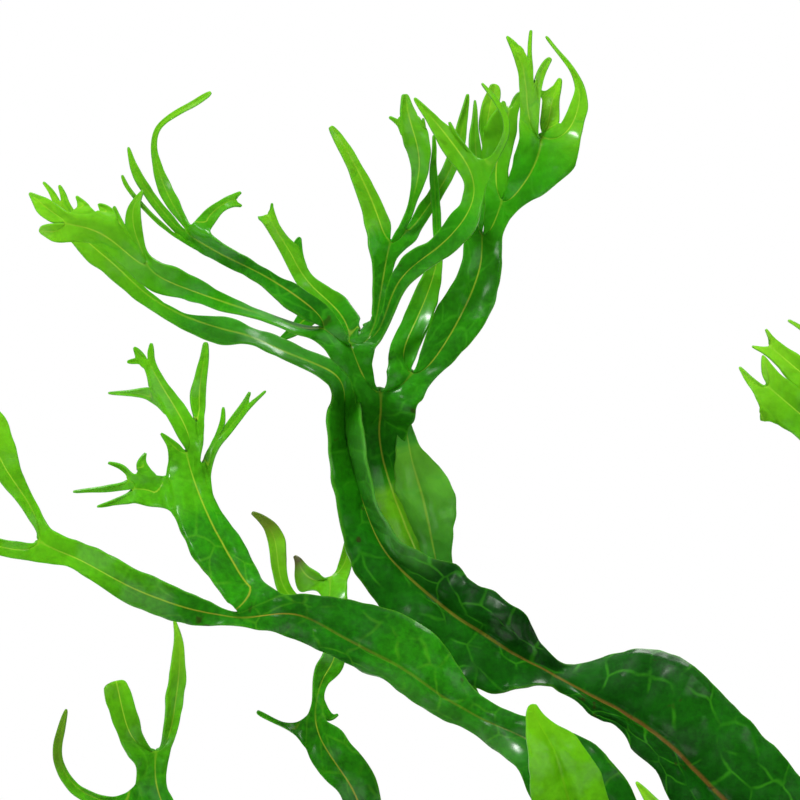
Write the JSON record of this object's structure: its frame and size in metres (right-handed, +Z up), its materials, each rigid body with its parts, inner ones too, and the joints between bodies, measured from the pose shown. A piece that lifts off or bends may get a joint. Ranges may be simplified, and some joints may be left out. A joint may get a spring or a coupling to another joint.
{
  "type": "java fern on driftwood",
  "caption": "Fork-tipped java fern: long wavy fronds rise from a creeping rhizome that is rooted along the top of a piece of driftwood with a flat underside.",
  "frame": {"origin": "on the flat underside of the driftwood trunk, below the rhizome's line, 6 mm to the left of the rhizome's middle", "axes": "+Z up, +X along the rhizome, to the right as pictured, +Y away from the picture's viewer"},
  "size_m": [0.3767, 0.2421, 0.2321],
  "materials": {
    "driftwood": null,
    "rhizome": null,
    "roots": null,
    "frond_dark": "dark green wet leaf with a net of paler veins",
    "frond_green": "mid green wet leaf with a net of veins",
    "frond_bright": "bright green young leaf"
  },
  "bodies": {
    "root": {"driftwood_trunk": "driftwood", "driftwood_left_root": "driftwood", "driftwood_right_branch": "driftwood", "driftwood_front_root": "driftwood", "driftwood_back_root": "driftwood", "rhizome": "rhizome", "roots": "roots", "frond_twisted": "frond_dark", "frond_crested": "frond_dark", "frond_young": "frond_bright", "frond_reaching": "frond_green", "frond_curled": "frond_green", "frond_low": "frond_green", "frond_finger": "frond_green", "frond_right_crown": "frond_green", "frond_right_tall": "frond_green", "frond_right_front": "frond_green", "frond_right_back": "frond_green", "frond_right_high": "frond_green", "frond_right_low": "frond_green", "frond_right_end": "frond_green", "frond_right_leaning": "frond_green", "frond_far_back": "frond_green", "frond_middle_tall": "frond_green", "frond_middle_front": "frond_green", "frond_middle_back": "frond_green", "frond_left_back": "frond_green", "frond_left_end": "frond_green", "frond_left_front": "frond_green", "frond_low_front": "frond_green"}
  },
  "joints": []
}
